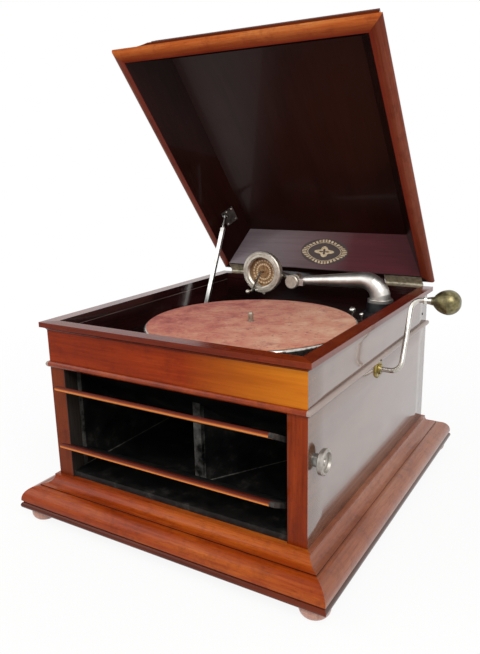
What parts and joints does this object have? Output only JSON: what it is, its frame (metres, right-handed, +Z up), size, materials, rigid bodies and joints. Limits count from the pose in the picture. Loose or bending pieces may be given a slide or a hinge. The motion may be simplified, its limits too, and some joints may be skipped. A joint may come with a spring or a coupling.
{
  "type": "tabletop gramophone",
  "caption": "Mahogany tabletop gramophone with hinged lid, felt turntable, nickel tonearm and soundbox, side winding crank, and tone leaves in the horn mouth.",
  "frame": {"origin": "centre of the footprint on the table, under the middle of the cabinet", "axes": "+Z up, front with the tone leaves faces -Y, winding crank on +X"},
  "size_m": [0.5167, 0.5307, 0.6579],
  "materials": {
    "mahogany": "gloss varnish",
    "dark_mahogany": "satin varnish",
    "ebonised_wood": "matt black stain",
    "nickel_plate": "polished nickel",
    "brass": "aged",
    "motor_steel": "oiled",
    "felt": "worn felt",
    "black_japan": "black japan",
    "mica": "satin"
  },
  "bodies": {
    "cabinet": {"plinth_front": "mahogany", "plinth_back": "mahogany", "plinth_left": "mahogany", "plinth_right": "mahogany", "bead_moulding": "mahogany", "feet": "mahogany", "floor_board": "ebonised_wood", "side_panel_left": "mahogany", "side_panel_right": "mahogany", "back_panel": "mahogany", "apron": "mahogany", "post_left": "mahogany", "post_right": "mahogany", "hinge_rim_leaves": "brass", "rim_front": "mahogany", "rim_back": "mahogany", "rim_left": "mahogany", "rim_right": "mahogany", "tonearm_base": "black_japan", "crank_escutcheon": "brass", "horn_roof": "ebonised_wood", "horn_walls": "ebonised_wood", "horn_splitter": "ebonised_wood", "motor_frame": "motor_steel", "motor_board": "dark_mahogany"},
    "lid": {"lid_panel": "mahogany", "lid_front": "mahogany", "lid_back": "mahogany", "lid_left": "mahogany", "lid_right": "mahogany", "hinge_lid_leaves": "brass", "stay_bracket": "nickel_plate"},
    "stay": {"stay_bar": "nickel_plate"},
    "turntable_set": {"turntable": "nickel_plate", "turntable_felt": "felt", "turntable_spindle": "motor_steel"},
    "arm": {"tonearm": "nickel_plate"},
    "soundbox": {"soundbox_body": "nickel_plate", "soundbox_ring": "nickel_plate", "diaphragm": "mica", "soundbox_stem": "nickel_plate", "joint_cap": "nickel_plate", "stylus_bar": "nickel_plate", "needle": "motor_steel", "needle_screw": "nickel_plate"},
    "crank": {"crank_arm": "nickel_plate", "crank_ferrule": "nickel_plate", "crank_shaft": "motor_steel"},
    "handle": {"crank_handle": "brass"},
    "leaf_upper": {"tone_leaf_upper": "ebonised_wood"},
    "leaf_lower": {"tone_leaf_lower": "ebonised_wood"},
    "knob": {"tone_knob": "nickel_plate", "tone_shaft": "motor_steel"},
    "link": {"tone_link": "motor_steel"},
    "barrel": {"mainspring_barrel": "motor_steel"},
    "winding": {"winding_arbor": "motor_steel"},
    "intermediate": {"intermediate_wheel": "motor_steel"},
    "governor_set": {"governor": "motor_steel"},
    "brake": {"brake_lever": "nickel_plate"},
    "speed": {"speed_lever": "nickel_plate"}
  },
  "joints": [
    {"name": "lid_hinge", "type": "hinge", "parent": "cabinet", "child": "lid", "pos_m": [0, 0.232, 0.2827], "axis": [-1, 0, 0], "range_deg": [-50.7, 0]},
    {"name": "stay_pivot", "type": "hinge", "parent": "lid", "child": "stay", "pos_m": [-0.15795, 0.17661, 0.38985], "axis": [1, 0, 0], "range_deg": [-34, 0]},
    {"name": "turntable_spin", "type": "hinge", "parent": "cabinet", "child": "turntable_set", "pos_m": [0.007, -0.023, 0.25], "axis": [0, 0, 1], "continuous": true},
    {"name": "tonearm_swing", "type": "hinge", "parent": "cabinet", "child": "arm", "pos_m": [0.129, 0.178, 0.262], "axis": [0, 0, 1], "range_deg": [0, 38]},
    {"name": "soundbox_lift", "type": "hinge", "parent": "arm", "child": "soundbox", "pos_m": [-0.022, 0.17, 0.28435], "axis": [0, 1, 0], "range_deg": [0, 95]},
    {"name": "crank_turn", "type": "hinge", "parent": "cabinet", "child": "crank", "pos_m": [0.191, -0.007, 0.212], "axis": [1, 0, 0], "continuous": true},
    {"name": "handle_spin", "type": "hinge", "parent": "crank", "child": "handle", "pos_m": [0.25, 0.03395, 0.30103], "axis": [1, 0, 0], "continuous": true},
    {"name": "knob_turn", "type": "hinge", "parent": "cabinet", "child": "knob", "pos_m": [0.191, -0.2078, 0.166], "axis": [-1, 0, 0], "range_deg": [-28, 18]},
    {"name": "leaf_upper_tilt", "type": "hinge", "parent": "cabinet", "child": "leaf_upper", "pos_m": [0, -0.2078, 0.1822], "axis": [-1, 0, 0], "range_deg": [-28, 18]},
    {"name": "leaf_lower_tilt", "type": "hinge", "parent": "cabinet", "child": "leaf_lower", "pos_m": [0, -0.2078, 0.101], "axis": [-1, 0, 0], "range_deg": [-28, 18]},
    {"name": "link_pivot", "type": "hinge", "parent": "knob", "child": "link", "pos_m": [0.162, -0.19367, 0.15849], "axis": [-1, 0, 0], "range_deg": [-18, 28]},
    {"name": "barrel_turn", "type": "hinge", "parent": "cabinet", "child": "barrel", "pos_m": [0.07, -0.007, 0.17], "axis": [0, 0, 1], "continuous": true},
    {"name": "intermediate_turn", "type": "hinge", "parent": "cabinet", "child": "intermediate", "pos_m": [0.02084, 0.01212, 0.15], "axis": [0, 0, 1], "continuous": true},
    {"name": "governor_turn", "type": "hinge", "parent": "cabinet", "child": "governor_set", "pos_m": [-0.02325, -0.023, 0.17], "axis": [0, 0, 1], "continuous": true},
    {"name": "winding_turn", "type": "hinge", "parent": "cabinet", "child": "winding", "pos_m": [0.07, -0.007, 0.19], "axis": [0, 0, 1], "continuous": true},
    {"name": "brake_swing", "type": "hinge", "parent": "cabinet", "child": "brake", "pos_m": [0.12538, 0.12373, 0.239], "axis": [0, 0, 1], "range_deg": [-12, 12]},
    {"name": "speed_swing", "type": "hinge", "parent": "cabinet", "child": "speed", "pos_m": [0.14856, 0.10162, 0.239], "axis": [0, 0, 1], "range_deg": [-12, 12]}
  ],
  "couplings": [
    {"joint": "stay_pivot", "follows": "lid_hinge", "ratio": 0.6563},
    {"joint": "leaf_upper_tilt", "follows": "knob_turn", "ratio": 1},
    {"joint": "leaf_lower_tilt", "follows": "knob_turn", "ratio": 1},
    {"joint": "link_pivot", "follows": "knob_turn", "ratio": -1},
    {"joint": "intermediate_turn", "follows": "turntable_spin", "ratio": -0.25},
    {"joint": "barrel_turn", "follows": "turntable_spin", "ratio": 0.0625},
    {"joint": "governor_turn", "follows": "turntable_spin", "ratio": -4},
    {"joint": "winding_turn", "follows": "crank_turn", "ratio": 0.4}
  ]
}
